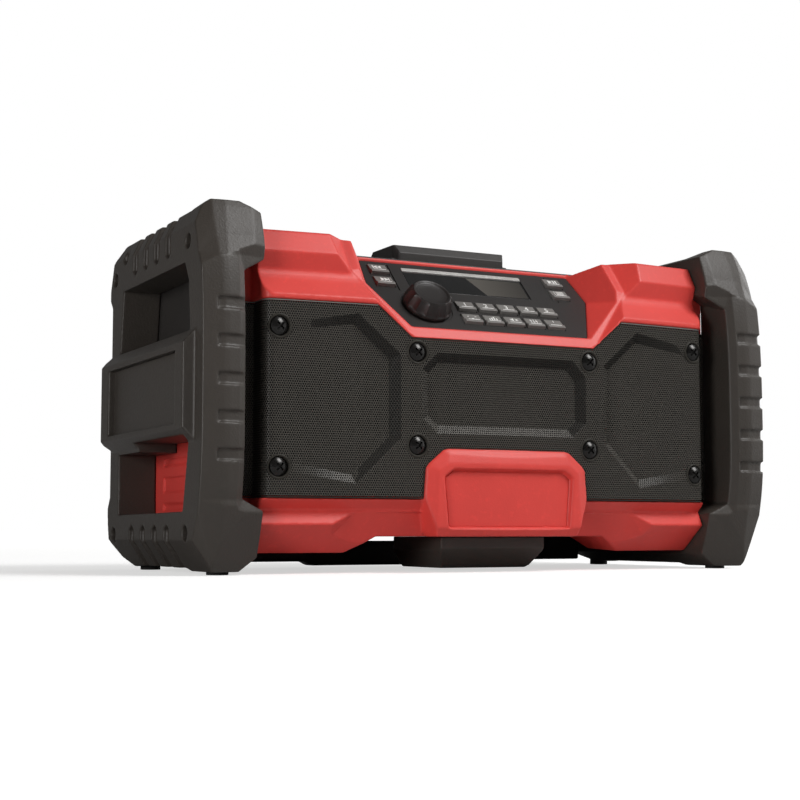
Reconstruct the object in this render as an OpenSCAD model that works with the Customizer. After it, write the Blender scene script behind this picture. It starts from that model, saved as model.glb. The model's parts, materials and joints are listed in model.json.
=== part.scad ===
// Jobsite radio: a bowed casing carried between two guard frames.
// X is to the right, Y to the back and Z up. The origin is under the middle of the radio, on the
// ground. Inside from_front() the y value is measured back from the front screws of the grille.

/* [Overall] */
// Distance from the middle of the radio to the plane of the outer grille screws
front_gap = 83.5; // [82:0.5:85]
// Half width over the side faces of the end frames
frame_x = 200.5; // [199:0.5:202]
// How far the side bumpers stand out of the end frames
bumper_out = 7; // [5:0.5:8]

/* [Casing] */
// Half width of the casing between the front posts
casing_x = 159.6; // [159:0.1:159.8]
// Half width of the casing behind the front posts
body_x = 174.8; // [174:0.1:175]
// Height of the casing roof
roof_z = 201; // [200:0.5:202]
// Height of the underside of the casing
floor_z = 22; // [21.5:0.5:23]
// Wall thickness of the casings
wall = 3; // [2.5:0.1:3.5]
// Radius of the bow of the front
bow_r = 1500; // [1400:50:1800]
// How far the middle of the front stands forward of the outer grille screws
bow_sag = 7.5; // [6:0.5:8]
// Depth of the red front casing at the top
front_depth = 52; // [50:1:54]
// Depth of the red front casing at the bottom
tub_depth = 155; // [150:1:156]
// Height at which the casing split steps back
split_z = 108; // [100:1:120]

/* [Control panel] */
// Slope of the control panel
panel_tilt = 45.5; // [43:0.5:48]
// Height of the lower edge of the control panel
panel_z = 149.5; // [148:0.5:151]
// Thickness of the control panel
panel_t = 3; // [2:0.5:3.5]
// Width of a key
key_w = 13; // [12:0.5:13.5]
// Height of a key along the panel
key_h = 9.2; // [8:0.2:9.6]
// How far a key stands out
key_out = 2.2; // [1.5:0.1:3]
// Distance between the keys in a row
key_pitch = 15.2; // [15:0.1:16]
// Distance between the two rows of keys
row_pitch = 12.8; // [12:0.1:14]
// Radius of the knob at its foot
knob_r = 16.5; // [14:0.5:17.5]
// Height of the knob
knob_h = 11; // [9:0.5:14]

/* [Speakers] */
// Distance from the middle to a speaker's axis
speaker_x = 115; // [112:1:116]
// Height of the speaker axes
speaker_z = 103; // [98:1:106]
// Radius of a speaker's cone with its surround
cone_r = 33; // [30:1:34]

/* [Feet and mounts] */
// Radius of a rubber foot
foot_r = 6.5; // [5:0.5:7]
// Radius of the shank of the frame bolts
bolt_r = 2.5; // [2:0.1:2.6]

/* [Grips] */
// Width of the grip grooves over the end frames
groove_w = 10; // [8:0.2:11]
// Depth of the grip grooves
groove_t = 2.8; // [1.5:0.1:3]

/* [Hidden] */
$fn = 48;
gap = 0.3;
red = "#d8443f";
charcoal = "#56524c";
black = "#2b2a28";
grey = "#6c6965";
steel = "#b9bbbd";

// ---- frames of reference ----

module from_front() { translate([0, -front_gap, 0]) children(); }

// Lays an outline of [depth, height] points round the bow of the front
module bowed(half_w = 150) {
    angle = 2 * asin((half_w + 4) / bow_r);
    intersection() {
        translate([0, bow_r - bow_sag, 0])
            rotate([0, 0, -90 - angle / 2])
                rotate_extrude(angle = angle, $fn = 720)
                    translate([bow_r, 0]) mirror([1, 0]) children();
        translate([-half_w, -40, -10]) cube([2 * half_w, 240, 260]);
    }
}

function bow_y(x, d) = bow_r - bow_sag - sqrt(pow(bow_r - d, 2) - x * x);

// Path of the grille sheet at one depth: along the bow, round the casing's corners and back
// along its flanks, as [x, y]
grille_bend = [151.6, 8.6];
grille_back = 23.2;
function sheet_path(d, flank, back) = let (
    strips = 24,
    reach = min(grille_bend[0], flank - 5),
    turn = flank - reach,
    front = [for (i = [0:strips]) let (x = reach * (2 * i / strips - 1)) [x, bow_y(x, d)]],
    y0 = bow_y(reach, d),
    corner = [for (a = [15:15:75]) [reach + turn * sin(a), y0 + turn * (1 - cos(a))]],
    right = concat(corner, [[flank, y0 + turn], [flank, back]]),
    left = [for (i = [len(right) - 1:-1:0]) [-right[i][0], right[i][1]]])
    concat(left, front, right);

// Space between two depths of the sheet path
module wrapped_sheet(z0, z1, outside, inside) {
    plan(z0, z1) difference() {
        polygon(sheet_path(outside[0], outside[1], grille_back));
        polygon(sheet_path(inside[0], inside[1], grille_back + 1));
    }
}

// Extrudes a front view, with points [x, z], from y0 to y1
module front_view(y0, y1) {
    translate([0, y1, 0]) rotate([90, 0, 0]) linear_extrude(y1 - y0) children();
}

// Extrudes a side view, with points [y, z], from x0 to x1
module side_view(x0, x1) {
    translate([x0, 0, 0]) rotate([90, 0, 90]) linear_extrude(x1 - x0) children();
}

// Extrudes a plan, with points [x, y], from z0 to z1
module plan(z0, z1) { translate([0, 0, z0]) linear_extrude(z1 - z0) children(); }

// Puts local x, y, z along the panel's width, up its slope and out of its face
module on_panel() { translate([0, 0, panel_z]) rotate([panel_tilt, 0, 0]) children(); }

// Convex solid round a few corner points
module wedge(points) { hull() polyhedron(points, [[for (i = [0:len(points) - 1]) i]]); }

function both_sides(points) =
    concat(points, [for (i = [len(points) - 1:-1:0]) [-points[i][0], points[i][1]]]);

function at_height(points, h) = [for (p = points) [p[0], p[1], h]];

function mirrored(points) = concat(points, [for (p = points) [-p[0], p[1], p[2]]]);

// ---- outlines ----

// Lower sill, grille seat, lip, band, undercut, ridge and shoulder, as [depth, height]
front_outline = [
    [64, 14], [26, 12.2], [5.3, 29.1], [10, 38], [2, 44.6], [0.5, 46], [0.5, 164], [9.5, 174.5],
    [11.5, 177.5], [12.4, 180.5], [8.9, 190.9], [16, 204.2], [18, 205], [64, 205]];

function grille_outline(g, half_w = 170) = both_sides([
    [58.6 + g, 44.8 + g], [half_w, 44.8 + g], [half_w, 160.8 - g],
    [88.2 + 0.4 * g, 160.8 - g], [65.8 + 0.4 * g, 142 - g]]);

badge_outline = both_sides([[50.2, 21.9], [58, 44.5], [56.6, 63.2], [54.4, 66], [45, 73.9], [42, 74.8]]);
badge_notch = both_sides([[58.4, 40], [58.4, 44.7], [57, 63.4], [54.8, 66.2], [45.2, 74.3], [42.1, 75.2]]);

panel_outline = both_sides([[64, 0], [81.3, 39], [78, 66]]);
panel_inside = both_sides([[57, 5], [76.6, 40], [76.2, 62.8]]);

// Front view of the casing behind the posts, as [x, z]
function body_section(inset) = both_sides([
    [body_x - 4 - inset, floor_z + inset], [body_x - inset, floor_z + 4 + inset],
    [body_x - inset, 183.5 - inset / 2], [158 - inset / 2, 197.5 - inset], [153, roof_z - inset]]);

octagon = both_sides([[49, 84.3], [59, 93.4], [59, 123.4], [48.8, 133.7]]);

// ---- casings ----

// Widens from the panel to the ridge of the recess and opens at the top
module recess_cutter() {
    on_panel() {
        wedge(concat(at_height(panel_outline, 0),
            at_height(both_sides([[91.7, -56], [114.3, -5], [99, 120]]), 40)));
        translate([0, 0, -panel_t - 0.2]) linear_extrude(panel_t + 0.4) polygon(panel_outline);
        translate([0, 0, -40]) linear_extrude(39) polygon(panel_inside);
    }
    front_view(46.6, front_depth + 1)
        polygon([[-79.5, 199], [79.5, 199], [88, 207], [-88, 207]]);
}

// Corners of the narrow strip beside the recess, and of the facet beside the strip
strip_low = [[94, 6.1, 179.1], [98.8, 9.7, 180.8]];
strip_top = [[93, 25.7, 204.4], [99.8, 26.9, 204.9]];
facet_top = [115.4, 9.8, 203.6];
recess_corner = [78.3, 46.5, 197.7];

// Cuts the facet and the strip into the inner end of a shoulder, and slopes its top down to the back
module shoulder_cutter() {
    intersection() {
        beyond(facet_top, strip_top[1], strip_low[1]);
        beyond(strip_top[0], strip_low[0], strip_top[1]);
        translate([84, -20, 179.3]) cube([45, 60, 40]);
    }
    intersection() {
        beyond(strip_top[0], strip_top[1], recess_corner);
        translate([79.6, 20, 180]) cube([60, 40, 40]);
    }
}

// Flattens the strip between the grille and the recess so that it leans back
module strip_cutter() {
    wedge(mirrored([
        [65.8, -5.6, 142.2], [89.5, -4.6, 163.6], [100, 9.4, 182], [65, -2.3, 149.4],
        [65.8, -24, 142.2], [89.5, -24, 163.6], [100, -24, 190], [60, 12, 190], [100, 9.4, 190]]));
}

// Cuts the middle of the chin back below the inner ridge of the sill
module chin_cutter() {
    wedge(mirrored([
        [99.3, 4.9, 36.8], [99.3, 17.2, 12], [115.5, 2.2, 29.1], [99.3, -20, 36.8],
        [131.7, -0.5, 21.4], [131.7, -20, 21.4], [123, 13, 12], [99.3, 17.2, 8], [123, -20, 8]]));
    front_view(-20, 70) polygon(both_sides([[103.3, 10], [81.7, floor_z]]));
}

module front_mass() {
    intersection() {
        bowed(casing_x) polygon(front_outline);
        plan(0, 220) {
            translate([-casing_x + 8, -20]) square([2 * casing_x - 16, front_depth + 20]);
            translate([-casing_x, 8.6]) square([2 * casing_x, front_depth - 8.6]);
            for (s = [-1, 1]) translate([s * (casing_x - 8), 8.6]) circle(8);
        }
    }
}

module badge_block() {
    intersection() {
        bowed(70) polygon([[-3, 27.4], [0, 21.9], [30, 21.9], [30, 80], [1, 80], [-3, 66]]);
        hull() {
            front_view(-6.5, 10) polygon(badge_outline);
            front_view(-10.6, 10)
                polygon(both_sides([[49.4, 21.9], [47.5, 61], [38.5, 68.7]]));
        }
    }
}

// Recess of the badge, with walls that open to the front
module badge_recess() {
    intersection() {
        hull() {
            front_view(-15, -14.9) polygon(both_sides([[45, 25.4], [47.7, 59.2], [40.4, 64.6]]));
            front_view(-5.6, -5.5) polygon(both_sides([[42.3, 28], [45, 57.7], [38.8, 61.7]]));
        }
        bowed(60) polygon([[-5, 20], [0.8, 20], [0.8, 80], [-5, 80]]);
    }
}

module side_ribs() {
    for (s = [-1, 1]) translate([s * (body_x - 1.4), 0, 0]) mirror([s < 0 ? 1 : 0, 0, 0])
        for (z = [[38, 43], [50, 60], [67, 72]])
            translate([0, 34, z[0]]) cube([3, 104, z[1] - z[0]]);
}

module front_cavity() {
    side_view(-154.4, 154.4)
        polygon([[12, 48], [12, 146], [46, 180], [70, 180], [70, 48]]);
    front_view(27, 200) intersection() {
        polygon(body_section(wall));
        translate([-200, 0]) square([400, split_z + 1]);
    }
    for (s = [-1, 1]) front_view(27, 60) polygon([for (p = [
        [108, 60], [body_x - wall, 60], [body_x - wall, 178], [158, 190], [108, 190]]) [s * p[0], p[1]]]);
}

module front_casing() {
    color(red) from_front() difference() {
        union() {
            difference() {
                union() {
                    front_mass();
                    front_view(24, front_depth) intersection() {
                        polygon(body_section(0));
                        translate([-200, 0]) square([400, 199]);
                    }
                    front_view(24, tub_depth) intersection() {
                        polygon(body_section(0));
                        translate([-200, 0]) square([400, split_z]);
                    }
                }
                chin_cutter();
                strip_cutter();
                for (s = [0, 1]) mirror([s, 0, 0]) shoulder_cutter();
            }
            badge_block();
        }
        recess_cutter();
        badge_recess();
        side_ribs();
        // seat of the grille
        difference() {
            front_view(-20, grille_back + 0.3) polygon(grille_outline(-0.3));
            front_view(-21, 13) polygon(badge_notch);
            plan(30, 170) polygon(sheet_path(6.4, 156.1, 40));
        }
        front_cavity();
        for (s = [-1, 1]) translate([s * speaker_x, -10, speaker_z])
            rotate([-90, 0, 0]) cylinder(r = cone_r + 1, h = 30);
        frame_bolt_places() cylinder(r = bolt_r + 0.1, h = 60);
        grille_screw_places() cylinder(r = 1.6, h = 16);
        on_panel() translate([knob_at[0], knob_at[1], -20]) cylinder(r = 4, h = 25);
    }
}

module rear_casing() {
    y0 = front_depth + gap;
    y1 = 169.5;
    color(black) from_front() difference() {
        union() {
            front_view(y0, y1) difference() {
                polygon(body_section(0));
                translate([-200, 0]) square([400, split_z + gap]);
            }
            front_view(tub_depth + gap, y1) intersection() {
                polygon(body_section(0));
                translate([-200, 0]) square([400, split_z + 5]);
            }
            // foot beam with the low step in its middle
            front_view(tub_depth + 0.6, y1 + 0.5) polygon(both_sides([
                [61, 1.4], [66, 4.2], [158.8, 4.2], [158.8, 26]]));
            // hinge knuckles of the lid
            for (s = [-1, 1]) translate([s * 34.5 - 3.4, lid_hinge_y, lid_hinge_z])
                rotate([0, 90, 0]) {
                    cylinder(r = 3, h = 6.8);
                    translate([0, -3, 0]) cube([lid_hinge_z - roof_z + 1, 6, 6.8]);
                }
        }
        front_view(y0 - 5, y1 - wall) difference() {
            polygon(body_section(wall));
            translate([-200, 0]) square([400, split_z + gap - 5]);
        }
        front_view(tub_depth - 5, y1 - wall) intersection() {
            polygon(body_section(wall));
            translate([-200, 28]) square([400, 90]);
        }
        // slot over the foot beam
        front_view(tub_depth - 1, y1 + 3) translate([-60, 18.4]) square([120, 5.6]);
        // mouth of the phone well, battery mouth and sockets
        translate([-40.6, 67.4, roof_z - 10]) cube([81.2, 33.2, 20]);
        translate([-41.3, y1 - 10, 35.5]) cube([82.6, 20, 57]);
        translate([-inlet_x - 13.6, y1 - 10, 49.7]) cube([27.2, 20, 20.6]);
        translate([socket_x - 25.2, y1 - 10, 44.8]) cube([50.4, 20, 30.4]);
        translate([-50, lid_hinge_y, lid_hinge_z]) rotate([0, 90, 0])
            cylinder(r = 1.5, h = 100);
        frame_bolt_places() cylinder(r = bolt_r + 0.1, h = 60);
        casing_screw_places() {
            cylinder(r = 1.7, h = 30);
            translate([0, 0, -3]) cylinder(r = 4.2, h = 4.4);
        }
    }
}

// ---- grille and badge ----

module grille_screw_places() {
    for (s = [-1, 1])
        for (p = [[149.7, 145], [149.7, 62.6], [62, 133.4], [62, 76.8]]) {
            y = 1.5 - bow_sag + p[0] * p[0] / (2 * bow_r);
            translate([s * p[0], y, p[1]])
                rotate([-90, 0, -s * asin(p[0] / bow_r)]) children();
        }
}

// Pocket pressed into the sheet in front of a speaker
module side_dish(s) {
    outer = [[101, 154.8], [73.6, 131.6], [73.4, 80.6], [102, 53]];
    inner = [[106.4, 150.8], [79.8, 127.8], [79.8, 79.8], [106.4, 56.8]];
    wedge([for (i = [0:3], k = [0:2]) let (y = bow_y(outer[i][0], 1.5))
            k == 0 ? [s * outer[i][0], y, outer[i][1]] :
            k == 1 ? [s * outer[i][0], -14, outer[i][1]] : [s * inner[i][0], y + 3, inner[i][1]],
        for (z = [57.6, 150], y = [-14, -0.6]) [s * 130, y, z]]);
}

module speaker_grille() {
    color(black) from_front() {
        // returns that stand out sideways from the flanks
        for (s = [-1, 1]) mirror([s < 0 ? 1 : 0, 0, 0])
            translate([157.4, grille_back - 2.4, 47]) cube([15.8, 2, 111.4]);
        difference() {
            intersection() {
                difference() {
                    front_view(-20, 30) polygon(grille_outline(0));
                    front_view(-21, 13) polygon(badge_notch);
                }
                wrapped_sheet(30, 170, [1.5, 158.6], [6.1, 156.4]);
                side_view(-170, 170) polygon([[-20, 30], [17, 44], [grille_back + 1, 48.3],
                    [grille_back + 1, 156.7], [17, 161], [-20, 170]]);
            }
            // hollow behind the sheet, between the folded edge and the pressed pockets
            intersection() {
                front_view(-20, 9) difference() {
                    polygon(grille_outline(3, 148));
                    scale([1.07, 1]) polygon(both_sides([[45, 72], [58, 78], [62, 89], [62, 128], [50, 137]]));
                    translate([-61.5, 40]) square([123, 38]);
                    for (s = [-1, 1]) {
                        polygon([for (p = [[135, 157], [99, 158], [70, 133.4], [70, 78], [100, 49.6], [135, 49]])
                            [s * p[0], p[1]]]);
                        for (p = [[149.7, 145], [149.7, 62.6]]) translate([s * p[0], p[1]]) circle(7);
                    }
                }
                wrapped_sheet(30, 170, [2.7, 157.4], [8, 153]);
            }
            intersection() {
                front_view(-20, 8) polygon(octagon);
                wedge(mirrored([
                    [49, -4.6, 84.3], [59, -4.6, 93.4], [59, -4.6, 123.4], [48.8, -4.6, 133.7],
                    [49, -14, 84.3], [59, -14, 93.4], [59, -14, 123.4], [48.8, -14, 133.7],
                    [45.6, -2.3, 89.6], [53, -2.3, 96], [53, -2.3, 120.4], [45.4, -2.3, 127.2]]));
            }
            for (s = [-1, 1]) side_dish(s);
            grille_screw_places() {
                cylinder(r = 1.8, h = 16);
                translate([0, 0, -5]) cylinder(r = 5.9, h = 6.2);
            }
        }
    }
}

module grille_screws() {
    color(black) from_front() grille_screw_places() difference() {
        union() {
            intersection() {
                translate([0, 0, -1.7]) cylinder(r = 5.5, h = 2.8);
                translate([0, 0, 6.6]) sphere(r = 8.3, $fn = 64);
            }
            cylinder(r = 1.5, h = 12);
        }
        for (a = [45, 135]) rotate([0, 0, a]) translate([-3, -0.6, -3]) cube([6, 1.2, 3]);
    }
}

module badge_plate() {
    color(red) from_front() intersection() {
        front_view(-20, 0) polygon(both_sides([[42.2, 28], [44.9, 57.6], [38.7, 61.5]]));
        bowed(60) polygon([[0, 20], [0.7, 20], [0.7, 80], [0, 80]]);
    }
}

// ---- control panel ----

knob_at = [-45.5, 22];
window = [[-50.2, 38], [38.2, 61.2]];

// Every key: name, centre on the panel
key_places = [
    for (i = [0:4]) [-17.2 + i * key_pitch, 11.2 + row_pitch],
    for (i = [0:4]) [-17.2 + i * key_pitch, 11.2],
    [-67.4, 57], [-67.4, 44.4], [62.6, 57], [62.6, 44.4]];

module slab(low, high, h0, h1) {
    translate([low[0], low[1], h0]) cube([high[0] - low[0], high[1] - low[1], h1 - h0]);
}

module control_panel() {
    color(black) from_front() on_panel() difference() {
        translate([0, 0, -panel_t]) linear_extrude(panel_t)
            polygon(both_sides([[63.8, 0.2], [81, 39], [77.8, 65.8]]));
        slab(window[0], window[1], -5, 5);
        for (p = key_places)
            translate([p[0] - key_w / 2 - 0.4, p[1] - key_h / 2 - 0.4, -5])
                cube([key_w + 0.8, key_h + 0.8, 10]);
        translate([knob_at[0], knob_at[1], -5]) cylinder(r = 4, h = 10);
        translate([knob_at[0], knob_at[1], -0.6]) cylinder(r = knob_r + 0.8, h = 2);
        for (s = [-1, 1]) slab([s * 59 - 0.4, 37], [s * 59 + 0.4, 64], -0.6, 1);
    }
}

module display_lens() {
    color("#8a8d8e", 0.6) from_front() on_panel()
        slab([window[0][0] + 0.2, window[0][1] + 0.2], [window[1][0] - 0.2, 57.4], -2.4, -0.3);
}

module light_strip() {
    color("white") from_front() on_panel()
        slab([window[0][0] + 0.2, 57.8], [window[1][0] - 0.2, 61], -2.4, 0.4);
}

module display_module() {
    color(grey) from_front() on_panel() slab([-54, 34], [42, 62], -9.2, -3.4);
}

module keypad_mat() {
    color(grey) from_front() on_panel() difference() {
        translate([0, 0, -6.6]) linear_extrude(1.3) polygon(panel_inside);
        slab([-54.4, 33.6], [42.4, 62.4], -8, 0);
        translate([knob_at[0] - 7, knob_at[1] - 7, -8]) cube([14, 14, 8]);
    }
}

module keypad_board() {
    color("seagreen") from_front() on_panel()
        translate([0, 0, -11]) linear_extrude(1.6)
            polygon(both_sides([[56.5, 5.4], [75, 40], [72.5, 61.6]]));
}

module encoder() {
    color(grey) from_front() on_panel() translate([knob_at[0], knob_at[1], 0]) difference() {
        translate([-6.5, -6.5, -9.2]) cube([13, 13, 5.8]);
        translate([0, 0, -8]) cylinder(r = 3.05, h = 12);
    }
}

module volume_knob() {
    color(charcoal) from_front() on_panel() translate([knob_at[0], knob_at[1], 0]) difference() {
        union() {
            rotate_extrude() polygon([
                [0, 0.4], [knob_r, 0.4], [knob_r, 2.6], [knob_r - 3.8, knob_h - 1.6],
                [knob_r - 4.6, knob_h], [knob_r - 7, knob_h], [knob_r - 7.6, knob_h - 0.7],
                [0, knob_h - 0.7]]);
            translate([0, 0, -7.6]) cylinder(r = 3, h = 9);
        }
        for (a = [0:24:359]) rotate([0, 0, a]) translate([knob_r + 1.2, 0, 3])
            rotate([0, -26, 0]) translate([0, 0, -1]) cylinder(r = 2.1, h = 14);
    }
}

module key(i) {
    p = key_places[i];
    color(grey) from_front() on_panel() translate([p[0], p[1], 0]) {
        side_view(-key_w / 2, key_w / 2) polygon([
            [-key_h / 2, -3.4], [-key_h / 2, key_out - 0.4], [-key_h / 2 + 0.4, key_out],
            [-key_h / 2 + 2.8, key_out], [-key_h / 2 + 3.4, key_out - 0.7],
            [key_h / 2 - 0.4, key_out - 1.1], [key_h / 2, key_out - 1.5], [key_h / 2, -3.4]]);
        translate([-key_w / 2 - 0.8, -key_h / 2 - 0.8, -4.2]) cube([key_w + 1.6, key_h + 1.6, 0.8]);
    }
}

module key_1() { key(0); }
module key_2() { key(1); }
module key_3() { key(2); }
module key_4() { key(3); }
module key_5() { key(4); }
module key_lamp() { key(5); }
module key_bass() { key(6); }
module key_mute() { key(7); }
module key_tone() { key(8); }
module key_power() { key(9); }
module key_back() { key(10); }
module key_forward() { key(11); }
module key_play() { key(12); }
module key_mode() { key(13); }

// ---- boards and speakers ----

module main_board() {
    color("seagreen") from_front() {
        translate([-60, 20, 52]) cube([120, 1.6, 76]);
        translate([-40, 21.6, 60]) cube([28, 8, 24]);
        translate([6, 21.6, 96]) cube([34, 5, 22]);
    }
}

module power_supply() {
    color(grey) from_front() {
        translate([-160, 72, 30]) cube([62, 60, 40]);
    }
}

module speaker(s) {
    translate([s * speaker_x, 12.3, speaker_z]) rotate([-90, 0, 0]) children();
}

module speaker_basket(s) {
    color(grey) from_front() speaker(s) difference() {
        rotate_extrude() polygon([
            [cone_r + 0.3, 0], [cone_r + 5, 0], [cone_r + 5, 2], [cone_r + 1.6, 2.6],
            [24, 26], [13, 26], [13, 24.4], [22.6, 24.4], [cone_r + 0.3, 1.4]]);
        for (a = [45:90:359]) rotate([0, 0, a]) translate([cone_r + 2.6, 0, -1]) cylinder(r = 1.4, h = 6);
    }
}

module speaker_cone(s) {
    color(black) from_front() speaker(s) rotate_extrude() polygon([
        [0, 11], [9, 13.5], [10, 16], [27, 3.4], [30, 0.4], [33, -0.8], [cone_r, 0.6],
        [cone_r, 1.4], [33, 0.2], [30.6, 1.4], [27.6, 4.6], [11, 18.5], [11, 24], [10, 24], [9.4, 14.6],
        [0, 12]]);
}

module speaker_magnet(s) {
    color(steel) from_front() speaker(s) difference() {
        translate([0, 0, 26.2]) cylinder(r = 25, h = 13);
        translate([0, 0, 26]) cylinder(r = 11.6, h = 6);
    }
}

module left_speaker_basket() { speaker_basket(-1); }
module left_speaker_cone() { speaker_cone(-1); }
module left_speaker_magnet() { speaker_magnet(-1); }
module right_speaker_basket() { speaker_basket(1); }
module right_speaker_cone() { speaker_cone(1); }
module right_speaker_magnet() { speaker_magnet(1); }

// ---- end frames ----

// Side view of the guard, as [y, z]
frame_side = [
    [0.5, 1.8], [-10.8, 34], [-10.8, 183.3], [8, 218], [19, 218], [27, 214],
    [158, 214], [170, 206], [178, 186], [178, 179], [173, 173.5], [173, 47.5], [178, 40], [177, 30],
    [174.2, 17.7], [166, 8], [150, 2.4], [138, 3.4], [46, 3.4], [40, 1.8]];

// Front view of the guard, as [x, z]
frame_front = [
    [160, 10], [171, 1.8], [189, 1.8], [frame_x, 20], [frame_x, 203], [frame_x - 5, 214],
    [frame_x - 10, 218], [173, 218], [160, 211.8]];

// Plan of a post: inner flank, inner facets, narrow ridge and outer facet
post_plan = [
    [173.7, 24], [173.7, -6.5], [178.4, -9.6], [184.6, -10.8], [188.2, -10.8], [frame_x, -8.4],
    [frame_x, 180], [160, 180], [160, 24]];

// Where the leaning faces of the corner blocks start and end
top_post = [frame_x + 2, -8, 175.6];
top_ridge = [188.2, -10.8, 183.3];
top_corner = [188, 7.6, 217.6];
top_side = [frame_x, 8.8, 206.3];
top_fold = [172.6, -8.2, 191.3];
low_post = [frame_x + 2, -8, 43];
low_ridge = [188.2, -10.8, 40];
low_corner = [190, 2.2, 3.5];
low_side = [frame_x, 12, 12.5];
low_fold = [172, -7.4, 35.9];

// Everything beyond the plane through three points that run anticlockwise as seen from outside
module beyond(a, b, c) {
    n = cross(b - a, c - a);
    translate((a + b + c) / 3) rotate([0, acos(n[2] / norm(n)), atan2(n[1], n[0])])
        translate([-45, -45, 0]) cube([90, 90, 40]);
}

module leaning_faces() {
    beyond(top_post, top_corner, top_ridge);
    beyond(top_post, top_side, top_corner);
    beyond([184.6, -10.8, 183.3], [173, 6.6, 218], top_fold);
    beyond(top_fold, [161, 6.4, 212.3], [160.8, -4.9, 190.2]);
    beyond(low_post, low_ridge, low_corner);
    beyond(low_post, low_corner, low_side);
    beyond([184.6, -10.8, 40], low_fold, [172, 4, 2.5]);
    beyond(low_fold, [160.9, -3.9, 36], [160, 10, 7.3]);
}

upper_window = [[24.6, 182], [17.8, 171], [14, 141], [153, 141], [147, 182]];
lower_window = [[14.2, 80.4], [24, 36.6], [152.6, 35.6], [153.4, 74.6], [110, 74.6], [110, 80.4]];

// Space that the casing takes inside the guard
module casing_space() {
    front_view(23.7, 169.8) polygon(both_sides([
        [body_x + gap, floor_z - gap], [body_x + gap, 184], [159.8, 198.4], [159.8, 220], [0, 220],
        [0, 19], [159.8, 19], [159.8, floor_z - gap]]));
    translate([-casing_x - gap, -30, -5]) cube([2 * casing_x + 2 * gap, 230, 240]);
}

// Notch across the front of a post, which follows its facets
module notch(z, x0, x1) {
    difference() {
        wedge([for (x = [x0, x1], y = [-20, -6], dz = [-3.4, 3.4])
            [x + (y > -10 ? (x == x0 ? 2.6 : -2.6) : 0), y, z + dz]]);
        plan(z - 4, z + 4) polygon([
            [160, 20], [172, -5.4], [178.6, -7.9], [186.4, -9.3], [199, -7.2], [204, 20]]);
    }
}

module bumper() {
    x = frame_x + bumper_out;
    intersection() {
        front_view(0, 180) polygon([[frame_x - 6, 77], [frame_x, 76.6], [x, 84], [x, 133], [frame_x, 141],
                                    [frame_x - 6, 141]]);
        plan(60, 160) polygon([
            [frame_x - 6, 2], [frame_x, 3.7], [x, 5.7], [x, 172.4], [frame_x, 176], [frame_x - 6, 174]]);
        side_view(150, 220) polygon([[0, 76], [165, 76], [178, 84], [178, 133], [168, 141], [0, 141]]);
    }
}

// Guard frame; its notches run from x0 to x1
module end_frame(x0, x1) {
    color(charcoal) difference() {
        union() {
            intersection() {
                side_view(150, 210) polygon(frame_side);
                front_view(-20, 190) polygon(frame_front);
                union() {
                    plan(0, 220) polygon(post_plan);
                    // corner blocks that reach in to the casing
                    translate([159, -12, top_fold[2]]) cube([20, 40, 40]);
                    wedge([[160, -4.83, 191.5], [180.5, -10.3, 191.5], [173.7, -6.5, 175.2], [160, -3.8, 183],
                           [160, 24.5, 189], [174.5, 24.5, 181], [174.5, -4, 174.9],
                           [180.5, 24.5, 191.5], [160, 24.5, 191.5]]);
                    translate([159, -12, 0]) cube([20, 40, low_fold[2]]);
                    wedge([[160, -3.7, 35.6], [180.5, -10.1, 35.6], [173.7, -6.5, 43.5], [160, -3.5, 36.8],
                           [160, 24.5, 36], [174.5, 24.5, 46], [174.5, -4, 43.8],
                           [180.5, 24.5, 35.6], [160, 24.5, 35.6]]);
                }
            }
            bumper();
        }
        leaning_faces();
        casing_space();
        // windows, with a web at their front that closes the post towards the grille
        for (outline = [upper_window, lower_window]) {
            side_view(177, 210) polygon(outline);
            side_view(170, 180) intersection() {
                polygon(outline);
                translate([23.9, 0]) square([200, 220]);
            }
        }
        // pocket of the bumper plate
        translate([frame_x + bumper_out - 5.2, 20, 87]) cube([12, 135, 42.5]);
        for (i = [0:4]) notch(154.9 - 21.6 * i, x0, x1);
        // grip grooves over the top and under the bottom
        for (i = [0:3]) translate([frame_x - groove_t, 56 + 22 * i, 192]) groove([-9, 20], 11);
        translate([frame_x - groove_t, 144, 202]) groove([-9, 20], 7);
        for (i = [0:3]) translate([frame_x - groove_t, 53 + 23.4 * i, 26]) mirror([0, 0, 1])
            groove([-16.6, 20.1], 7);
        frame_bolt_places(1) {
            cylinder(r = bolt_r + 0.2, h = 60);
            translate([0, 0, -30]) cylinder(r = 4.6, h = 37);
        }
        foot_places(1) {
            cylinder(r = 2.6, h = 8);
            translate([0, 0, -3]) cylinder(r = foot_r + 0.3, h = 6.4);
        }
    }
}

// Groove with a pointed end that cuts the side face and leans in with the chamfer behind it
module groove(lean, straight) {
    side = groove_w / 2;
    intersection() {
        side_view(-20, 12) polygon([[-side, 30], [-side, 0], [0, -0.6 * side], [side, 0], [side, 30]]);
        front_view(-side - 1, side + 1) polygon([
            [0, -side], [0, straight], [lean[0], straight + lean[1]], [13, straight + lean[1]], [13, -side]]);
    }
}

module frame_bolt_places(only = 0) {
    for (s = only == 0 ? [-1, 1] : [only])
        for (p = [[19.5, 194], [166, 192], [20, 24], [163, 23]])
            translate([s * frame_x, p[0], p[1]]) rotate([0, -s * 90, 0]) children();
}

module foot_places(only = 0) {
    for (s = only == 0 ? [-1, 1] : [only])
        for (p = [[180, 20.4], [177, 156]]) translate([s * p[0], p[1], 1.8]) children();
}

module left_end_frame() { from_front() mirror([1, 0, 0]) end_frame(170, 193.6); }
module right_end_frame() { from_front() end_frame(177.4, 204); }

module bumper_plate() {
    color(charcoal) translate([frame_x + bumper_out - 5.1, 20.3, 87.3]) cube([1.3, 134.4, 41.9]);
}
module left_bumper_plate() { from_front() mirror([1, 0, 0]) bumper_plate(); }
module right_bumper_plate() { from_front() bumper_plate(); }

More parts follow.
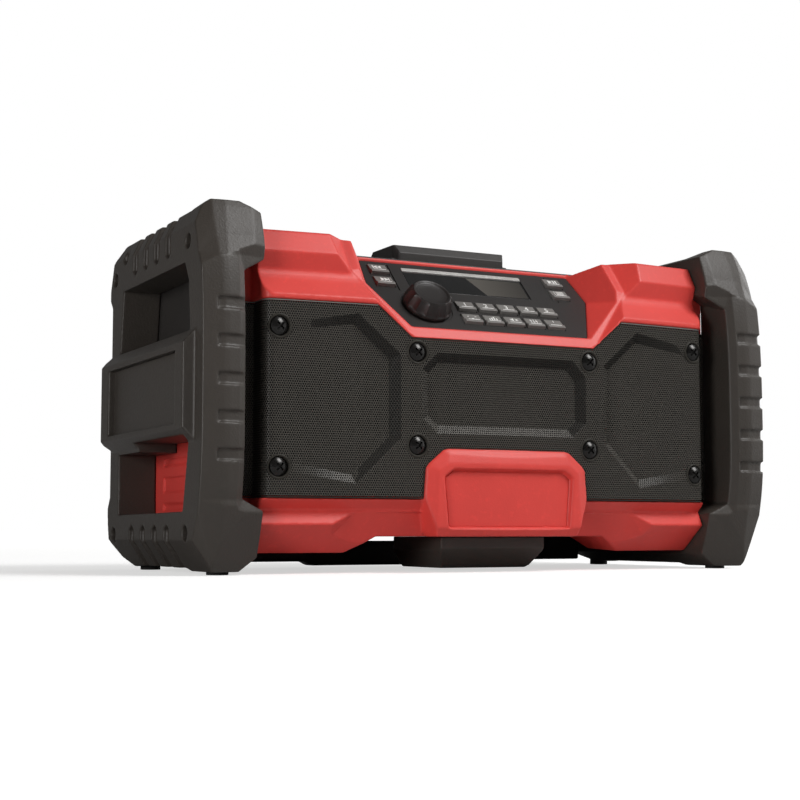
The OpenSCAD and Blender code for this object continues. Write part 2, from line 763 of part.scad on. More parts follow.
module frame_bolts() {
    color(black) from_front() frame_bolt_places() difference() {
        union() {
            translate([0, 0, 3.2]) cylinder(r = 4.3, h = 3.6);
            cylinder(r = bolt_r, h = 44);
        }
        translate([0, 0, -1]) cylinder(r = 4.2, h = 4.2);
        translate([0, 0, 2]) cylinder(r = 2.2, h = 3.2, $fn = 6);
    }
}

module rubber_feet() {
    color(black) from_front() foot_places() {
        translate([0, 0, -1.8]) cylinder(r = foot_r, h = 4.8);
        cylinder(r = 2.5, h = 6);
    }
}

module front_skid() {
    color(charcoal) from_front() difference() {
        intersection() {
            side_view(-60, 60) polygon([
                [12, 21.7], [12, 14.8], [21, 3.8], [25, 2.2], [78, 2.2], [78, 21.7]]);
            front_view(0, 90) polygon(both_sides([[31, 2.2], [37.5, 13], [37.5, 21.7]]));
        }
        translate([-28, 30, 2]) cube([56, 40, 8]);
    }
}

module casing_screw_places() {
    for (s = [-1, 1])
        for (z = [34, 112, 186])
            translate([s * 148, 169.5, z]) rotate([90, 0, 0]) children();
}

module casing_screws() {
    color(black) from_front() casing_screw_places() difference() {
        union() {
            cylinder(r = 1.6, h = 20);
            translate([0, 0, -1.4]) cylinder(r = 3.9, h = 2.6);
        }
        for (a = [0, 90]) rotate([0, 0, a]) translate([-2.2, -0.5, -2]) cube([4.4, 1, 2]);
    }
}

// ---- battery ----

module battery_bay() {
    color(black) from_front() difference() {
        translate([-44, 88, 33]) cube([88, 78.2, 62]);
        translate([-41, 91, 36]) cube([82, 90, 56]);
        translate([-20.4, 80, 64.6]) cube([40.8, 20, 22.8]);
    }
}

module terminal_block() {
    color(grey) from_front() {
        translate([-20, 80, 65]) cube([40, 11.6, 22]);
        for (x = [-12, 0, 12]) translate([x - 0.4, 91.4, 68]) cube([0.8, 6, 14]);
    }
}

module battery_shell() {
    color(charcoal) from_front() difference() {
        union() {
            side_view(-39.6, 39.6) polygon([
                [94, 40], [97, 37.2], [171, 37.2], [173.5, 40], [173.5, 88], [171, 90.8], [97, 90.8], [94, 88]]);
        }
        translate([-36.6, 97.2, 40.2]) cube([73.2, 72, 46]);
        for (x = [-12, 0, 12]) translate([x - 1.2, 90, 66]) cube([2.4, 9, 18]);
        translate([-12.2, 160, 76.8]) cube([24.4, 20, 8.4]);
        for (z = [46:6:70]) translate([-26, 172.6, z]) cube([52, 3, 2.6]);
    }
}

module battery_cells() {
    color("steelblue") from_front() for (c = [[107, 50], [126, 50], [145, 50], [116.5, 68.6], [135.5, 68.6]])
        translate([-32.5, c[0], c[1]]) rotate([0, 90, 0]) cylinder(r = 9.1, h = 65);
}

module battery_release() {
    color(red) from_front() {
        translate([-11.9, 165, 77.1]) cube([23.8, 9.4, 7.8]);
    }
}

// ---- storage well ----

lid_hinge_y = 108;
lid_hinge_z = 206;

module phone_well() {
    color(black) from_front() difference() {
        union() {
            translate([-43, 65.2, 112]) cube([86, 37.6, roof_z - wall - gap - 112]);
        }
        translate([-40, 68, 115]) cube([80, 32, 100]);
    }
}

module phone_lid() {
    color(charcoal) from_front() difference() {
        union() {
            intersection() {
                side_view(-50, 50) polygon([
                    [65, 202.3], [65, 208], [69, 213.5], [100, 213.5], [104, 210], [104, 202.3]]);
                plan(200, 215) polygon([[-39.3, 65], [39.3, 65], [42, 70], [42, 104], [-42, 104], [-42, 70]]);
            }
            translate([-44, 68, 202.3]) cube([88, 34, 2.2]);
            translate([-30.6, lid_hinge_y, lid_hinge_z]) rotate([0, 90, 0]) cylinder(r = 3, h = 61.2);
            translate([-30.6, 103, lid_hinge_z - 2.2]) cube([61.2, 5, 4.4]);
        }
        translate([-37, 70.5, 200]) cube([74, 28, 9.5]);
        translate([-50, lid_hinge_y, lid_hinge_z]) rotate([0, 90, 0]) cylinder(r = 1.55, h = 100);
    }
}

module lid_pin() {
    color(steel) from_front() translate([-37.6, lid_hinge_y, lid_hinge_z])
        rotate([0, 90, 0]) cylinder(r = 1.5, h = 75.2);
}

// ---- sockets and antenna ----

inlet_x = 112;
socket_x = 112;

module mains_inlet() {
    color(black) from_front() difference() {
        translate([-inlet_x - 13.3, 148, 50]) cube([26.6, 22.4, 20]);
        translate([-inlet_x - 10, 156, 53.5]) cube([20, 20, 13]);
    }
    color(steel) from_front() for (x = [-4.3, 4.3])
        translate([-inlet_x + x, 155, 60]) rotate([-90, 0, 0]) cylinder(r = 1.2, h = 9);
}

module socket_plate() {
    color(black) from_front() difference() {
        translate([socket_x - 25, 166, 45]) cube([50, 3.6, 30]);
        translate([socket_x - 18, 160, 57.4]) cube([14, 20, 6.4]);
        translate([socket_x + 10, 160, 60]) rotate([-90, 0, 0]) cylinder(r = 3.4, h = 20);
    }
}

module socket_flap() {
    color(charcoal) from_front() {
        translate([socket_x - 27, 170.2, 42]) cube([54, 2.4, 32.4]);
        difference() {
            union() {
                translate([socket_x - 27, 172.4, 76.4]) rotate([0, 90, 0]) cylinder(r = 2, h = 54);
                translate([socket_x - 27, 170.6, 73]) cube([54, 2, 3]);
            }
            translate([socket_x - 30, 172.4, 76.4]) rotate([0, 90, 0]) cylinder(r = 0.8, h = 60);
        }
    }
}

antenna_x = -122;
antenna_y = 174;
antenna_z = 192;

module antenna_mount() {
    color(black) from_front() {
        translate([antenna_x - 8, 169.7, antenna_z - 8]) cube([16, 1.4, 16]);
        translate([antenna_x, 171, antenna_z]) rotate([-90, 0, 0]) cylinder(r = 2.2, h = 5.6);
    }
}

module antenna_rod() {
    color(steel) from_front() {
        difference() {
            translate([antenna_x, 171.4, antenna_z]) rotate([-90, 0, 0]) cylinder(r = 5, h = 4.8);
            translate([antenna_x, 170, antenna_z]) rotate([-90, 0, 0]) cylinder(r = 2.25, h = 10);
        }
        translate([antenna_x + 4, antenna_y, antenna_z]) rotate([0, 90, 0]) cylinder(r = 2.1, h = 60);
        translate([antenna_x + 64, antenna_y, antenna_z]) rotate([0, 90, 0]) cylinder(r = 1.6, h = 80);
        translate([antenna_x + 144, antenna_y, antenna_z]) rotate([0, 90, 0]) cylinder(r = 1.1, h = 60);
        translate([antenna_x + 204, antenna_y, antenna_z]) sphere(r = 2.2);
    }
}

front_casing();
rear_casing();
speaker_grille();
grille_screws();
badge_plate();
control_panel();
display_lens();
light_strip();
display_module();
keypad_mat();
keypad_board();
encoder();
volume_knob();
main_board();
power_supply();
left_speaker_basket();
left_speaker_cone();
left_speaker_magnet();
right_speaker_basket();
right_speaker_cone();
right_speaker_magnet();
left_end_frame();
right_end_frame();
left_bumper_plate();
right_bumper_plate();
frame_bolts();
rubber_feet();
front_skid();
casing_screws();
battery_bay();
terminal_block();
battery_shell();
battery_cells();
battery_release();
phone_well();
phone_lid();
lid_pin();
mains_inlet();
socket_plate();
socket_flap();
antenna_mount();
antenna_rod();
key_1();
key_2();
key_3();
key_4();
key_5();
key_lamp();
key_bass();
key_mute();
key_tone();
key_power();
key_back();
key_forward();
key_play();
key_mode();
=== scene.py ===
import json
import math

import bmesh
import bpy
from mathutils import Matrix, Vector


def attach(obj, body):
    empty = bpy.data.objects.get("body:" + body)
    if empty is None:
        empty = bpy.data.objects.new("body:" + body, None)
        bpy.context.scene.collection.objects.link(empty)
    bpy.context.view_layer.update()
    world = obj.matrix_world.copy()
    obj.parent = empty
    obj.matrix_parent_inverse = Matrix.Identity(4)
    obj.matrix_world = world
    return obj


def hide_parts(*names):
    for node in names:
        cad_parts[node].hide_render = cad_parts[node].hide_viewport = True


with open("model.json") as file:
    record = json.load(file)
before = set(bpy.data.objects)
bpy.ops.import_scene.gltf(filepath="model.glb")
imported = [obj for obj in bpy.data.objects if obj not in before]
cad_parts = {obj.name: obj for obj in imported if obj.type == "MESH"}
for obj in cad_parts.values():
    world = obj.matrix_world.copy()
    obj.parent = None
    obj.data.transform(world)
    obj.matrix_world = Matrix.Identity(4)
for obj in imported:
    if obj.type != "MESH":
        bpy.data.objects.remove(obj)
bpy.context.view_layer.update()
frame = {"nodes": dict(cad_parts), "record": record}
nodes = frame["nodes"]
record = frame["record"]
scene = bpy.context.scene
frontY = -0.0835  # plane of the outer grille screws


# ---- materials ----

class Number:  # a number socket, so that shader maths reads as plain expressions
    def __init__(self, tree, socket):
        self.tree = tree
        self.socket = socket

    def math(self, operation, *values):
        return self.tree.node("Math", values, operation=operation)

    def __add__(self, other):
        return self.math("ADD", self, other)

    def __sub__(self, other):
        return self.math("SUBTRACT", self, other)

    def __mul__(self, other):
        return self.math("MULTIPLY", self, other)

    def __rsub__(self, other):
        return self.math("SUBTRACT", other, self)

    __radd__ = __add__
    __rmul__ = __mul__

    def ranged(self, low, high, toLow=0.0, toHigh=1.0, **settings):
        return self.tree.node("MapRange", {"Value": self, "From Min": low, "From Max": high,
                                           "To Min": toLow, "To Max": toHigh}, **settings)

    def above(self, edge, soft):
        return self.ranged(edge - soft, edge + soft, interpolation_type="SMOOTHSTEP")


class Tree:  # a node tree whose inputs take plain values as well as other nodes' outputs
    def __init__(self, tree):
        self.tree = tree

    def plug(self, socket, value):
        if isinstance(value, Number):
            value = value.socket
        if isinstance(value, bpy.types.NodeSocket):
            self.tree.links.new(value, socket)
        elif isinstance(value, (tuple, list)) and socket.type == "RGBA":
            socket.default_value = (*value[:3], 1)
        else:
            socket.default_value = value

    def node(self, kind, inputs=(), output=0, **settings):
        made = self.tree.nodes.new("ShaderNode" + kind)
        for name, value in settings.items():
            setattr(made, name, value)
        named = inputs if isinstance(inputs, dict) else dict(enumerate(inputs))
        for name, value in named.items():
            self.plug(made.inputs[name], value)
        socket = made.outputs[output]
        return Number(self, socket) if socket.type == "VALUE" else socket

    def place(self, output="Object"):
        return self.node("TexCoord", output=output)

    def along(self, axis, output="Object"):
        return self.node("SeparateXYZ", [self.place(output)], output=axis)

    def cameraRay(self):  # 1 where the camera sees the surface straight on, 0 in its reflections
        return self.node("LightPath", output="Is Camera Ray")


class Shader(Tree):
    def __init__(self, name, **values):
        self.material = bpy.data.materials.new(name)
        self.material.use_nodes = True
        super().__init__(self.material.node_tree)
        self.surface = self.tree.nodes["Principled BSDF"]
        self.set(**values)

    def set(self, **values):
        for name, value in values.items():
            self.plug(self.surface.inputs[name.replace("_", " ")], value)

    def noise(self, scale, detail=2.0, roughness=0.5):
        return self.node("TexNoise", {"Vector": self.place(), "Scale": scale, "Detail": detail,
                                      "Roughness": roughness})

    def cells(self, scale):
        return self.node("TexVoronoi", {"Vector": self.place(), "Scale": scale})

    def mix(self, factor, low, high):
        return self.node("Mix", {0: factor, 6: low, 7: high}, output=2, data_type="RGBA")

    def bump(self, height, distance):
        self.set(Normal=self.node("Bump", {"Height": height, "Distance": distance}))


def shade(colour, factor):
    return tuple(channel * factor for channel in colour)


def mouldedPlastic(name, colour, roughness, grain=0.00006, grainScale=1400, coat=0.0, specular=0.5):
    shader = Shader(name, Coat_Roughness=0.25, Coat_Weight=coat, Specular_IOR_Level=specular)
    cloud = shader.noise(18, 4)
    specks = shader.noise(260, 3, 0.6)
    tone = shader.mix(cloud.above(0.5, 0.25), shade(colour, 0.94), shade(colour, 1.05))
    shader.set(Base_Color=shader.mix(specks.above(0.62, 0.1) * 0.35, tone, shade(colour, 1.18)))
    shader.set(Roughness=roughness + (cloud - 0.5) * 0.10 + (specks - 0.5) * 0.08)
    shader.bump(shader.noise(grainScale, 2) + shader.cells(grainScale * 0.7) * 0.5, grain)
    return shader.material


def polished(name, colour, roughness, metallic=0.0):
    shader = Shader(name, Metallic=metallic)
    dust = shader.noise(90, 5, 0.6)
    shader.set(Base_Color=shader.mix(dust.above(0.55, 0.2), colour, shade(colour, 1.25)))
    shader.set(Roughness=roughness + dust.above(0.6, 0.15) * 0.08)
    shader.bump(shader.noise(35, 2), 0.00004)
    return shader.material


def makeFinishes():
    return {
        "red_casing": mouldedPlastic("redPlastic", (0.70, 0.059, 0.048), 0.45, coat=0.03, specular=0.34),
        "guard": mouldedPlastic("guardPlastic", (0.043, 0.036, 0.030), 0.47, 0.00010, 900, specular=0.42),
        "black_casing": mouldedPlastic("casingPlastic", (0.030, 0.027, 0.025), 0.48, specular=0.35),
        "grille": mouldedPlastic("grillePaint", (0.078, 0.071, 0.060), 0.40, 0.00003, specular=0.22),
        "screw": polished("blackSteel", (0.020, 0.019, 0.018), 0.22, 0.6),
        "panel": mouldedPlastic("panelFilm", (0.012, 0.0095, 0.0085), 0.46, 0.00003, specular=0.38),
        "display": polished("displayWindow", (0.012, 0.012, 0.012), 0.08),
        "light": polished("lightGuide", (0.42, 0.41, 0.39), 0.25),
        "key": mouldedPlastic("keyRubber", (0.17, 0.16, 0.15), 0.5),
        "knob": mouldedPlastic("knobRubber", (0.016, 0.013, 0.012), 0.42, specular=0.35),
        "board": polished("circuitBoard", (0.02, 0.12, 0.05), 0.4),
        "module": mouldedPlastic("modulePlastic", (0.06, 0.06, 0.06), 0.5),
        "cone": mouldedPlastic("conePulp", (0.02, 0.02, 0.022), 0.8),
        "basket": mouldedPlastic("basketPaint", (0.04, 0.04, 0.042), 0.4),
        "magnet": mouldedPlastic("magnetFerrite", (0.07, 0.07, 0.07), 0.6),
        "steel": polished("polishedSteel", (0.6, 0.6, 0.61), 0.18, 1.0),
        "foot": mouldedPlastic("footRubber", (0.018, 0.017, 0.016), 0.75),
        "pack": mouldedPlastic("packPlastic", (0.035, 0.033, 0.031), 0.5),
        "cell": polished("cellSleeve", (0.03, 0.10, 0.30), 0.3),
        "latch": mouldedPlastic("latchPlastic", (0.6, 0.03, 0.024), 0.36),
    }


finishes = makeFinishes()
slotOf = {part["node"]: part["material_slot"] for part in record["subparts"]}


def finish(piece, slot):
    if piece.data.materials:
        piece.data.materials.clear()
    piece.data.materials.append(finishes[slot])


for name, node in nodes.items():
    finish(node, slotOf[name])
print("materials done")

bodyOf = {name: body for body, members in record["behaviour"]["bodies"].items() for name in members}


# ---- shared building steps ----

def point(x, y, z):  # millimetres back from the grille screws, as the part's source has them
    return Vector((x, y, z)) * 0.001 + Vector((0, frontY, 0))


def readNode(name, flat=0.35):
    mesh = bmesh.new()
    mesh.from_mesh(nodes[name].data)
    bmesh.ops.remove_doubles(mesh, verts=mesh.verts, dist=0.000003)
    bmesh.ops.dissolve_limit(mesh, angle_limit=math.radians(flat), verts=mesh.verts, edges=mesh.edges)
    mesh.normal_update()
    return mesh


def evaluated(mesh, name, modifiers):
    data = bpy.data.meshes.new(name)
    mesh.to_mesh(data)
    mesh.free()
    helper = bpy.data.objects.new(name, data)
    scene.collection.objects.link(helper)
    for kind, settings in modifiers:
        modifier = helper.modifiers.new(kind, kind)
        for key, value in settings.items():
            setattr(modifier, key, value)
    ready = helper.evaluated_get(bpy.context.evaluated_depsgraph_get())
    result = bmesh.new()
    result.from_mesh(ready.to_mesh())
    bpy.data.objects.remove(helper)
    bpy.data.meshes.remove(data)
    return result


def soften(name, voxel, smoothing, keep=0.4, move=None):  # the same solid with soft moulded edges
    mesh = evaluated(readNode(name), name + "Cast", [("REMESH", {"mode": "VOXEL", "voxel_size": voxel})])
    for _ in range(smoothing):
        bmesh.ops.smooth_vert(mesh, verts=mesh.verts, factor=0.5, use_axis_x=True, use_axis_y=True,
                              use_axis_z=True)
    if move:
        for corner in mesh.verts:
            corner.co = move(corner.co)
    return evaluated(mesh, name + "Cut", [("DECIMATE", {"decimate_type": "COLLAPSE", "ratio": keep})])


def roundEdges(mesh, width, segments=2, turn=11):
    chosen = [edge for edge in mesh.edges
              if len(edge.link_faces) == 2 and edge.calc_face_angle(0) > math.radians(turn)]
    bmesh.ops.bevel(mesh, geom=chosen, offset=width, offset_type="OFFSET", segments=segments, profile=0.5,
                    affect="EDGES", clamp_overlap=True, material=-1, loop_slide=True)
    mesh.normal_update()


def grow(mesh, edges):  # a new row of corners and edges beside the given edges
    grown = bmesh.ops.extrude_edge_only(mesh, edges=edges)["geom"]
    corners = [part for part in grown if isinstance(part, bmesh.types.BMVert)]
    return corners, [part for part in grown if isinstance(part, bmesh.types.BMEdge)]


def cut(mesh, place, normal, **settings):
    bmesh.ops.bisect_plane(mesh, geom=mesh.verts[:] + mesh.edges[:] + mesh.faces[:], plane_co=place,
                           plane_no=normal, **settings)


def block(mesh, x, y, z, size, turn=0):
    place = Matrix.Translation((x, y, z)) @ Matrix.Rotation(math.radians(turn), 4, "Z")
    bmesh.ops.create_cube(mesh, size=1, matrix=place @ Matrix.Diagonal((*size, 1)))


def openEdges(mesh):
    return [edge for edge in mesh.edges if edge.is_boundary]


def addPiece(mesh, name, slot, body="radio", instead=(), smooth=True, sharp=40):
    data = bpy.data.meshes.new(name)
    for face in mesh.faces:
        face.smooth = smooth
    for edge in mesh.edges:
        if len(edge.link_faces) == 2:
            edge.smooth = edge.calc_face_angle(0) < math.radians(sharp)
    mesh.to_mesh(data)
    mesh.free()
    piece = bpy.data.objects.new(name, data)
    scene.collection.objects.link(piece)
    finish(piece, slot)
    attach(piece, body)
    if instead:
        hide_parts(*instead)
    if smooth:
        modifier = piece.modifiers.new("weighted", "WEIGHTED_NORMAL")
        modifier.keep_sharp = True
    return piece


# ---- casings, guards and small parts with rounded edges ----

soft = {  # voxel size in millimetres, smoothing steps and share of triangles kept
    "left_end_frame": (0.7, 2, 0.3), "right_end_frame": (0.7, 2, 0.3), "front_casing": (0.8, 2, 0.18),
    "rear_casing": (1.2, 1, 0.2), "phone_lid": (0.5, 4, 0.25), "front_skid": (0.6, 3, 0.3),
    "battery_shell": (0.7, 2, 0.3), "socket_flap": (0.4, 2, 0.4), "badge_plate": (0.4, 2, 0.3),
    "rubber_feet": (0.4, 2, 0.4),
}
rounding = {  # width of the rounded edge in millimetres and its segments
    "control_panel": (0.3, 2), "left_bumper_plate": (0.4, 2), "right_bumper_plate": (0.4, 2),
    "battery_release": (0.6, 2), "socket_plate": (0.3, 2), "mains_inlet": (0.4, 2),
    "frame_bolts": (0.3, 2), "casing_screws": (0.2, 2),
    "display_lens": (0.3, 2), "light_strip": (0.3, 2), "antenna_mount": (0.3, 2),
}
postBow = {  # the fronts of the posts lean back towards their ends, in millimetres
    "middle": 100, "sharpness": 3.2, "frontEnd": -4, "backEnd": 14,
    "upper": {"depth": 4.8, "end": 184, "release": 30}, "lower": {"depth": 4.0, "end": 43, "release": 35},
}


def bowPost(place):
    y, z = (place.y - frontY) * 1000, place.z * 1000
    half = postBow["upper" if z > postBow["middle"] else "lower"]
    reach = (z - postBow["middle"]) / (half["end"] - postBow["middle"])
    past = abs(z - postBow["middle"]) - abs(half["end"] - postBow["middle"])
    depth = half["depth"] * min(1, reach) ** postBow["sharpness"]
    depth *= 1 - min(1, max(0, past) / half["release"])
    fade = min(1, max(0, (postBow["backEnd"] - y) / (postBow["backEnd"] - postBow["frontEnd"])))
    return place + Vector((0, 0.001 * depth * fade, 0))


def roundNodes():
    for name, (voxel, smoothing, keep) in soft.items():
        mesh = soften(name, voxel * 0.001, smoothing, keep, bowPost if "end_frame" in name else None)
        print(name, "has", len(mesh.faces), "faces")
        addPiece(mesh, name + "Shape", slotOf[name], bodyOf[name], [name], sharp=180)
    for name, (width, segments) in rounding.items():
        mesh = readNode(name)
        roundEdges(mesh, width * 0.001, segments)
        addPiece(mesh, name + "Shape", slotOf[name], bodyOf[name], [name])


roundNodes()
print("rounded parts done")


# ---- perforated grille ----

grille = {  # millimetres, with x along the sheet laid flat; the outline is that of its right half
    "cell": 0.843, "stretch": 1.084, "web": 0.21, "holeDepth": 0.9, "columns": 260, "rows": 43,
    "rowStart": -0.4,
    "bow": 1498.5, "bowCentre": 1492.5, "bend": 151.86, "bendX": 151.6, "turn": 7.0,
    "flankEnd": 174.6, "returnEnd": 188.4, "returnStart": 12,
    "bottom": 44.8, "top": 160.8, "middleTop": 142.0, "stepIn": 65.8, "stepOut": 88.2, "stepRise": 0.839,
    "outline": [(42.1, 75.2), (45.2, 74.3), (54.8, 66.2), (57, 63.4), (58.5, 44.8), (188.4, 44.8),
                (188.4, 160.8), (88.2, 160.8), (65.8, 142)], "badgeCorners": 5,
    "screws": [(149.9, 145), (149.9, 62.6), (62, 133.4), (62, 76.8)],
    "cup": 6.3, "cupRim": 7.5,
    "cupLevels": [(7.2, -0.35), (6.7, -0.5), (6.2, -0.3), (5.95, 0.4), (5.9, 3.4), (4.0, 3.6)],
    "edge": 1.5, "margin": 0.825, "topMargin": 0.99, "rim": 0.9, "rimLean": 0.25, "edgeLift": 0.12,
    "edgeStep": 4, "outerRows": (0.25, 2.15), "innerRows": (0.3,),
    "bendCuts": (153.5, 155, 157, 159, 161, 162.6, 174.6),
}
pocket = {  # the pressed recesses, in millimetres; the side ones run out into the sheet
    "middleEnd": 66, "middleDepth": 4.0, "depth": 4.0, "slope": 5.5, "fadeFrom": 100, "fadeTo": 150,
    "middle": [(59, 93.4), (59, 123.4), (48.8, 133.7), (-48.8, 133.7), (-59, 123.4), (-59, 93.4),
               (-49, 84.3), (49, 84.3)],
    "side": 73.5, "top": (154.8, 101, -0.166), "bottom": (53, 102, 0.164),  # height, where it leans, lean
    "upperCorner": (73.6, 131.6, 23.2, 27.4, 35.9), "lowerCorner": (73.4, 80.6, 28.6, 27.6, 39.7),
    # painted shade and highlight on the pocket slopes: the sampling step, the weight of left-facing slopes,
    # and the scores below and above which the painted shade or highlight is given
    "shadeStep": 0.6, "leftShadeWeight": 1.7, "paintedShadeBelow": -0.34, "paintedHighlightAbove": 0.6,
}
slack = 0.05  # millimetres by which a corner may miss a line that it is on


def onSheet(place):  # x along the sheet, -y out of it, z up, in millimetres; returns metres
    along, out, high = place.x, -place.y, place.z
    side = 1 if along > 0 else -1
    along *= side
    if along < grille["bend"]:
        angle = along / grille["bow"]
        reach = grille["bow"] + out
        return point(side * reach * math.sin(angle), grille["bowCentre"] - reach * math.cos(angle), high)
    middleY = grille["bowCentre"] - math.sqrt(grille["bow"] ** 2 - grille["bendX"] ** 2) + grille["turn"]
    angle = (along - grille["bend"]) / grille["turn"]
    reach = grille["turn"] + out
    if angle < math.pi / 2:
        across = grille["bendX"] + reach * math.sin(angle)
        return point(side * across, middleY - reach * math.cos(angle), high)
    past = (angle - math.pi / 2) * grille["turn"]
    beyond = max(0, along - grille["flankEnd"])
    if beyond > out:  # the return stands out sideways behind the flank
        return point(side * (grille["bendX"] + grille["turn"] + beyond), middleY + past - beyond - out, high)
    return point(side * (grille["bendX"] + reach), middleY + past, high)


def within(outline, x, z):  # how far inside a convex outline, given anticlockwise
    nearest = 1000.0
    for (x0, z0), (x1, z1) in zip(outline, outline[1:] + outline[:1]):
        length = math.hypot(x1 - x0, z1 - z0)
        nearest = min(nearest, ((x1 - x0) * (z - z0) - (z1 - z0) * (x - x0)) / length)
    return nearest


def sideDepth(x, z):
    x = abs(x)
    top, bottom = [level + max(0, x - start) * lean
                   for level, start, lean in (pocket["top"], pocket["bottom"])]
    inside = min(x - pocket["side"], top - z, z - bottom)
    startX, startZ, run, rise, length = pocket["upperCorner"]
    inside = min(inside, ((x - startX) * run - (z - startZ) * rise) / length)
    startX, startZ, run, rise, length = pocket["lowerCorner"]
    inside = min(inside, ((z - startZ) * run + (x - startX) * rise) / length)
    fade = min(1, max(0, (pocket["fadeTo"] - x) / (pocket["fadeTo"] - pocket["fadeFrom"])))
    return min(1, max(0, inside / pocket["slope"])) * pocket["depth"] * fade


def sheetDepth(x, z):
    if abs(x) < pocket["middleEnd"]:
        return min(1, max(0, within(pocket["middle"], x, z) / pocket["slope"])) * pocket["middleDepth"]
    return sideDepth(x, z)


def slopePaintedShade(x, z):  # painted shade and highlight: slopes that face down or left take the painted shade, those that face up the painted highlight
    step = pocket["shadeStep"]
    rise = sheetDepth(x, z + step) - sheetDepth(x, z - step)
    score = rise + pocket["leftShadeWeight"] * min(0, sheetDepth(x + step, z) - sheetDepth(x - step, z))
    return 2 if score < pocket["paintedShadeBelow"] else 3 if score > pocket["paintedHighlightAbove"] else 0


def onGrille(x, z):  # whether the perforation reaches this place, inside the sheet's plain border
    x, edge = abs(x), grille["margin"]
    if z < grille["bottom"] + edge or z > grille["top"] - edge or x > grille["returnEnd"] - edge:
        return False
    shoulder = max(grille["middleTop"], grille["middleTop"] + (x - grille["stepIn"]) * grille["stepRise"])
    if x < grille["stepOut"] + edge and z > shoulder - grille["topMargin"]:
        return False
    steps = grille["outline"][:grille["badgeCorners"]]
    if x < steps[0][0] and z < steps[0][1] + edge:
        return False
    for (x0, z0), (x1, z1) in zip(steps, steps[1:]):
        if z1 <= z <= z0 + edge and x < x0 + (z - z0) / (z1 - z0) * (x1 - x0) + edge:
            return False
    return all(math.hypot(x - place[0], z - place[1]) > grille["cup"] for place in grille["screws"])


def makePerforated():
    mesh = bmesh.new()
    pitch, row = grille["cell"] * math.sqrt(3), grille["cell"] * 1.5 * grille["stretch"]
    upright = Matrix.Rotation(math.radians(90), 4, "X") @ Matrix.Diagonal((1, grille["stretch"], 1, 1))
    for shift in (0, 1):
        place = Matrix.Translation(((shift * 0.5 - grille["columns"] / 2) * pitch, 0,
                                    grille["bottom"] + (shift + grille["rowStart"]) * row))
        bmesh.ops.create_circle(mesh, cap_ends=True, segments=6, radius=grille["cell"],
                                matrix=place @ upright)
    holes = list(mesh.faces)
    bmesh.ops.inset_individual(mesh, faces=holes, thickness=grille["web"])
    pits = bmesh.ops.poke(mesh, faces=holes, offset=-grille["holeDepth"], center_mode="MEAN_WEIGHTED")
    # the pits take the painted shade of the holes
    for face in pits["faces"]:
        face.material_index = 1
    mesh = evaluated(mesh, "grilleCells", [
        ("ARRAY", {"count": grille["columns"], "use_relative_offset": False, "use_constant_offset": True,
                   "constant_offset_displace": (pitch, 0, 0)}),
        ("ARRAY", {"count": grille["rows"], "use_relative_offset": False, "use_constant_offset": True,
                   "constant_offset_displace": (0, 0, row * 2)})])
    outside = []
    for face in mesh.faces:
        centre = face.calc_center_median()
        if not onGrille(centre.x, centre.z):
            outside.append(face)
        elif face.material_index == 0:
            # webs on the pocket slopes take the painted shade or the painted highlight
            face.material_index = slopePaintedShade(centre.x, centre.z)
    bmesh.ops.delete(mesh, geom=outside, context="FACES")
    bmesh.ops.remove_doubles(mesh, verts=mesh.verts, dist=0.02)
    for corner in mesh.verts:
        corner.co.y += sheetDepth(corner.co.x, corner.co.z)
        corner.co = onSheet(corner.co)
    bmesh.ops.recalc_face_normals(mesh, faces=mesh.faces)
    for side, name in ((-1, "leftGrilleSheet"), (1, "rightGrilleSheet")):
        half = mesh.copy()
        away = [face for face in half.faces if face.calc_center_median().x * side <= 0]
        bmesh.ops.delete(half, geom=away, context="FACES")
        piece = addPiece(half, name, "grille", instead=["speaker_grille"], smooth=False)
        for material in (grilleHoleShade, grillePaintedShade, grillePaintedHighlight):
            piece.data.materials.append(material)
    mesh.free()


def makeGrilleEdge():
    mesh = bmesh.new()
    right = [mesh.verts.new((x, 0, z)) for x, z in grille["outline"]]
    left = [mesh.verts.new((-x, 0, z)) for x, z in reversed(grille["outline"])]
    face = mesh.faces.new(right + left)
    for border in (grille["rim"], grille["edge"] - grille["rim"]):
        bmesh.ops.inset_region(mesh, faces=[face], thickness=border, use_boundary=True, use_even_offset=True)
    bmesh.ops.delete(mesh, geom=[face], context="FACES_ONLY")
    count = int(grille["returnEnd"] / grille["edgeStep"])
    for step in range(-count, count + 1):
        cut(mesh, (step * grille["edgeStep"], 0, 0), (1, 0, 0))
    for along in grille["bendCuts"]:
        for side in (-1, 1):
            cut(mesh, (side * along, 0, 0), (1, 0, 0))
    outer = [edge for edge in openEdges(mesh) if onEdge(edge)]
    inner = [edge for edge in openEdges(mesh) if not onEdge(edge)]
    rim = {corner for edge in outer for corner in edge.verts}
    bmesh.ops.translate(mesh, verts=list(rim), vec=(0, grille["rim"] * grille["rimLean"], 0))
    for edges, rows in ((outer, grille["outerRows"]), (inner, grille["innerRows"])):
        for depth in rows:
            corners, edges = grow(mesh, edges)
            bmesh.ops.translate(mesh, verts=corners, vec=(0, depth, 0))
    for corner in mesh.verts:
        corner.co.y -= grille["edgeLift"]
        corner.co = onSheet(corner.co)
    bmesh.ops.recalc_face_normals(mesh, faces=mesh.faces)
    # painted highlight: faces along the top of the border take the light rim paint
    for face in mesh.faces:
        if all(corner.co.z * 1000 > grille["top"] - grille["rim"] - slack for corner in face.verts):
            face.material_index = 1
    piece = addPiece(mesh, "grilleEdge", "grille", sharp=50)
    # the plain border takes the painted shade
    piece.data.materials[0] = grillePaintedShade
    piece.data.materials.append(grilleEdgeHighlight)


